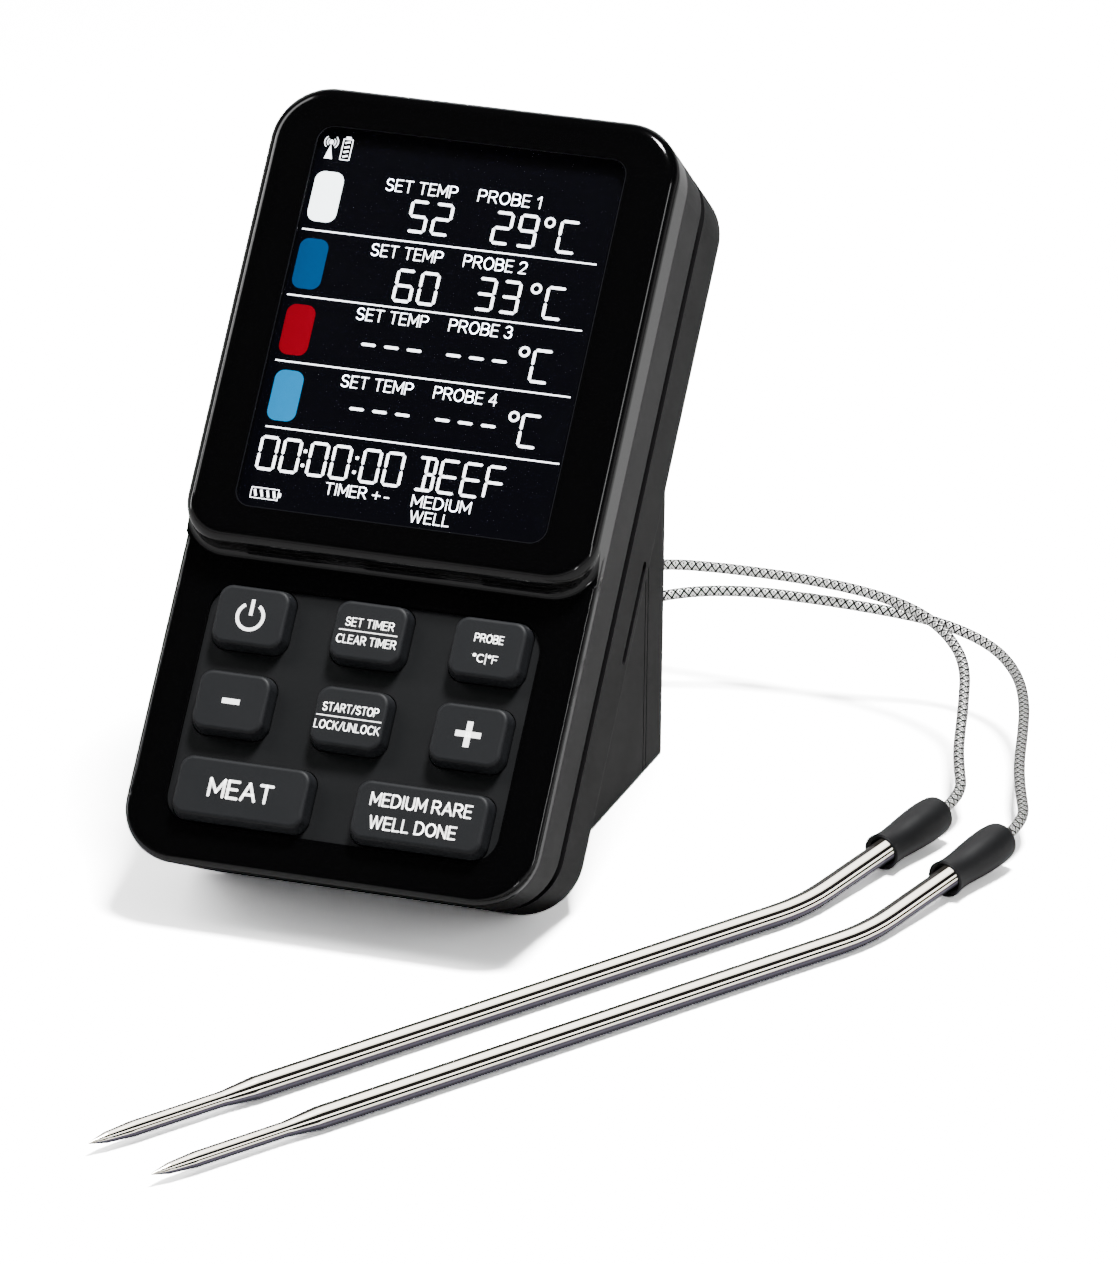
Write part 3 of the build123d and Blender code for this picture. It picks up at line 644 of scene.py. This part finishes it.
def display():
    lit = Flat("display_marks", DISPLAY_LEVEL, LIT, "unit", "display")
    for height, left, right in RULINGS:
        lit.bar(left, height, right, height, 0.26)
    text = Lettering("display_words", DISPLAY_LEVEL + 0.01, LIT, "unit", "display", 0.23)
    for i, label in enumerate((118.6, 106.5, 94.6, 82.2)):
        text.line("SET TEMP", -8.1, label, 2.3, 13.2)
        text.line("PROBE " + str(i + 1), 8.1, label, 2.3, 11.6)
    text.line("TIMER +-", -7.3, 62.6, 2.2, 11.8)
    text.line("MEDIUM", 8.1, 62.4, 2.2, 10.8)
    text.line("WELL", 6.6, 59.6, 2.2, 7.3)
    text.done()
    segment_text(lit, "52", -5.4, 113.4, 3.0, 5.5, 4.4, 0.54)
    segment_text(lit, "60", -5.1, 100.6, 3.0, 5.6, 4.4, 0.54)
    segment_text(lit, "29", 10.2, 113.2, 3.0, 5.6, 4.6, 0.54)
    segment_text(lit, "33", 9.8, 100.9, 3.0, 5.6, 4.5, 0.54)
    degree_c(lit, 16.2, 20.0, 113.0, 5.6, 0.52)
    degree_c(lit, 16.4, 20.2, 100.8, 5.6, 0.52)
    for value, left, right, ring_x, c_x in ((89.2, -7.1, 8.5, 16.8, 20.3), (77.4, -6.6, 9.1, 17.5, 20.8)):
        segment_text(lit, "---", left, value, 2.9, 5.7, 4.2, 0.52)
        segment_text(lit, "---", right, value, 2.9, 5.7, 4.2, 0.52)
        degree_c(lit, ring_x, c_x, value, 5.7, 0.52)
    for x in (-22.8, -13.6, -3.9):
        segment_text(lit, "00", x, 67.5, 3.0, 5.8, 4.2, 0.52)
    for x in (-18.2, -8.7):
        for y in (66.1, 68.7):
            lit.rounded(x, y, 0.6, 0.6, 0.15)
    segment_text(lit, "BEEF", 10.4, 67.4, 3.1, 5.8, 4.2, 0.52)
    # Painted highlight: the window's edge drawn as a lighter thin ring on the cover.
    edge_highlight = Flat("window_edge", COVER_LEVEL, WINDOW_EDGE_HIGHLIGHT, "unit", "gloss_cover")
    outer = rounded_outline(0, WINDOW_MIDDLE, 57.1, 70.7, 3.0)
    inner = rounded_outline(0, WINDOW_MIDDLE, 56.6, 70.2, 2.8)
    for i in range(len(outer)):
        j = (i + 1) % len(outer)
        edge_highlight.shape([outer[i], outer[j], inner[j], inner[i]])
    edge_highlight.done()
    # antenna
    x, y = -26.3, 124.1
    lit.shape([(x - 0.75, y - 2.1), (x + 0.75, y - 2.1), (x, y + 0.5)])
    lit.ring(x, y + 1.0, 0.22, 0.4, steps=12)
    for r in (0.75, 1.25):
        lit.ring(x, y + 1.0, r, 0.15, -50, 50, 10)
        lit.ring(x, y + 1.0, r, 0.15, 130, 230, 10)
    # upright and lying batteries
    battery(lit, -23.3, 124.0, 1.7, 3.8, True)
    battery(lit, -23.8, 60.2, 5.0, 1.9, False)
    lit.done()
    for name, x, y, mat in (
        ("white", -25.1, 115.0, LIT_WHITE), ("blue", -25.1, 102.5, LIT_BLUE),
        ("red", -24.7, 90.3, LIT_RED), ("sky", -24.1, 78.2, LIT_SKY),
    ):
        patch = Flat("display_patch_" + name, DISPLAY_LEVEL, mat, "unit", "display")
        patch.rounded(x, y, 5.3, 9.3, 1.7)
        patch.done()


def battery(flat, x, y, width, height, upright):
    line = 0.15
    flat.bar(x - width / 2, y - height / 2, x + width / 2, y - height / 2, line)
    flat.bar(x - width / 2, y + height / 2, x + width / 2, y + height / 2, line)
    flat.bar(x - width / 2, y - height / 2, x - width / 2, y + height / 2, line)
    flat.bar(x + width / 2, y - height / 2, x + width / 2, y + height / 2, line)
    if upright:
        flat.rounded(x, y + height / 2 + 0.3, 0.9, 0.4, 0.1)
        for i in range(4):
            low = y - height / 2 + 0.6 + i * 0.85
            flat.bar(x - 0.45, low - 0.05, x + 0.45, low + 0.2, 0.3)
    else:
        flat.rounded(x + width / 2 + 0.3, y, 0.4, 0.8, 0.1)
        for i in range(4):
            left = x - width / 2 + 0.75 + i * 1.15
            flat.bar(left + 0.25, y - 0.6, left - 0.15, y + 0.6, 0.42)


ROWS = [7.35, 22.85, 38.35]
PITCH = 21.6


def legend_words(key, stroke, lines):
    text = Lettering(key + "_words", KEY_LEVEL, GLOWING_INK, key, "key_rubber", stroke)
    for line in lines:
        text.line(*line)
    text.done()


def legends():
    flat = Flat("key_power_mark", KEY_LEVEL, GLOWING_INK, "key_power", "key_rubber")
    flat.ring(-PITCH, ROWS[2] - 0.1, 2.35, 0.62, 122, 418)
    flat.bar(-PITCH, ROWS[2] + 0.1, -PITCH, ROWS[2] + 3.0, 0.62)
    flat.done()
    flat = Flat("key_minus_mark", KEY_LEVEL, GLOWING_INK, "key_minus", "key_rubber")
    flat.bar(-PITCH - 1.6, ROWS[1], -PITCH + 1.6, ROWS[1], 0.95)
    flat.done()
    flat = Flat("key_plus_mark", KEY_LEVEL, GLOWING_INK, "key_plus", "key_rubber")
    flat.bar(PITCH - 2.3, ROWS[1], PITCH + 2.3, ROWS[1], 1.05)
    flat.bar(PITCH, ROWS[1] - 2.3, PITCH, ROWS[1] + 2.3, 1.05)
    flat.done()
    flat = Flat("key_timer_line", KEY_LEVEL, GLOWING_INK, "key_timer", "key_rubber")
    flat.bar(-5.3, ROWS[2] - 0.1, 5.3, ROWS[2] - 0.1, 0.2)
    flat.done()
    flat = Flat("key_start_line", KEY_LEVEL, GLOWING_INK, "key_start", "key_rubber")
    flat.bar(-5.9, ROWS[1] - 0.1, 5.9, ROWS[1] - 0.1, 0.2)
    flat.done()
    legend_words("key_timer", 0.2, [
        ("SET TIMER", 0, ROWS[2] + 1.45, 1.6, 8.9), ("CLEAR TIMER", 0, ROWS[2] - 1.7, 1.6, 10.9),
    ])
    legend_words("key_units", 0.2, [
        ("PROBE", PITCH, ROWS[2] + 1.7, 1.55, 5.3), ("°C|°F", PITCH, ROWS[2] - 1.9, 1.5, 4.6),
    ])
    legend_words("key_start", 0.2, [
        ("START/STOP", 0, ROWS[1] + 1.5, 1.6, 10.2), ("LOCK/UNLOCK", 0, ROWS[1] - 1.7, 1.6, 11.9),
    ])
    legend_words("key_meat", 0.52, [("MEAT", -16.2, ROWS[0], 3.5, 11.8)])
    legend_words("key_doneness", 0.34, [
        ("MEDIUM RARE", 16.2, ROWS[0] + 2.0, 2.45, 18.4), ("WELL DONE", 15.5, ROWS[0] - 2.1, 2.45, 15.8),
    ])


display()
legends()


# ---------------------------------------------------------------- floor and light
def soft_light(name, where, towards, width, height, power, color=(1, 1, 1)):
    data = bpy.data.lights.new(name, "AREA")
    data.shape = "RECTANGLE"
    data.size = width
    data.size_y = height
    data.energy = power
    data.color = color
    lamp = link(bpy.data.objects.new(name, data))
    lamp.location = where
    lamp.rotation_euler = (Vector(towards) - Vector(where)).to_track_quat("-Z", "Y").to_euler()
    return lamp


FLOOR_GAIN = 8.5          # how much brighter the floor is to the camera than its light makes it


def floor_material():
    """White table: brighter to the camera than to the things that stand on it."""
    mat = bpy.data.materials.new("floor")
    mat.use_nodes = True
    nodes, links = mat.node_tree.nodes, mat.node_tree.links
    nodes.clear()
    out = nodes.new("ShaderNodeOutputMaterial")
    soft = nodes.new("ShaderNodeBsdfDiffuse")
    path = nodes.new("ShaderNodeLightPath")
    mix = nodes.new("ShaderNodeMix")
    mix.data_type = "RGBA"
    shine = nodes.new("ShaderNodeMix")
    shine.data_type = "RGBA"
    shine.inputs["A"].default_value = (0.85, 0.85, 0.85, 1)
    shine.inputs["B"].default_value = (0.3, 0.3, 0.3, 1)
    links.new(path.outputs["Is Glossy Ray"], shine.inputs["Factor"])
    links.new(shine.outputs["Result"], mix.inputs["A"])
    mix.inputs["B"].default_value = (FLOOR_GAIN, FLOOR_GAIN, FLOOR_GAIN, 1)
    links.new(path.outputs["Is Camera Ray"], mix.inputs["Factor"])
    links.new(mix.outputs["Result"], soft.inputs["Color"])
    links.new(soft.outputs["BSDF"], out.inputs["Surface"])
    return mat


floor_mesh = bpy.data.meshes.new("floor")
half = 6.0
corners = [(-half, -half, 0), (half, -half, 0), (half, half, 0), (-half, half, 0)]
floor_mesh.from_pydata(corners, [], [(0, 1, 2, 3)])
floor_mesh.materials.append(floor_material())
floor = link(bpy.data.objects.new("floor", floor_mesh))
floor.location.z = -0.0002


def studio_world():
    """White to the camera, weak even light, and a dark upper sky for what shiny things reflect."""
    world = bpy.data.worlds.new("studio")
    scene.world = world
    world.use_nodes = True
    nodes, links = world.node_tree.nodes, world.node_tree.links
    back = nodes["Background"]
    path = nodes.new("ShaderNodeLightPath")
    coords = nodes.new("ShaderNodeTexCoord")
    split = nodes.new("ShaderNodeSeparateXYZ")
    links.new(coords.outputs["Generated"], split.inputs["Vector"])
    sky = nodes.new("ShaderNodeValToRGB")
    sky.color_ramp.interpolation = "EASE"
    first, last = sky.color_ramp.elements
    first.position, first.color = 0.02, (0.5, 0.5, 0.5, 1)
    last.position, last.color = 0.34, (0.015, 0.015, 0.016, 1)
    links.new(split.outputs["Z"], sky.inputs["Fac"])
    mirror = nodes.new("ShaderNodeMix")
    mirror.data_type = "RGBA"
    mirror.inputs["A"].default_value = (0.13, 0.13, 0.13, 1)
    links.new(sky.outputs["Color"], mirror.inputs["B"])
    links.new(path.outputs["Is Glossy Ray"], mirror.inputs["Factor"])
    seen = nodes.new("ShaderNodeMix")
    seen.data_type = "RGBA"
    seen.inputs["B"].default_value = (9, 9, 9, 1)
    links.new(mirror.outputs["Result"], seen.inputs["A"])
    links.new(path.outputs["Is Camera Ray"], seen.inputs["Factor"])
    links.new(seen.outputs["Result"], back.inputs["Color"])
    back.inputs["Strength"].default_value = 1.0


studio_world()
soft_light("top light", (0.25, 0.1, 1.35), (0, 0, 0), 0.28, 0.28, 36)
soft_light("key light", (-0.9, -0.2, 1.0), (0, 0, 0.03), 0.4, 0.7, 4)
soft_light("back light", (-0.5, 1.3, 0.75), (0.02, -0.05, 0.03), 1.8, 0.45, 3)
soft_light("side light", (1.2, -0.3, 0.55), (0, 0, 0.05), 0.10, 0.8, 1.5)
soft_light("strip light", (-1.2, -0.15, 0.45), (0, 0, 0.06), 0.06, 0.7, 2)
soft_light("corner light", (0.66, -0.96, 0.15), (0, -0.05, 0.05), 0.12, 0.12, 0.5)
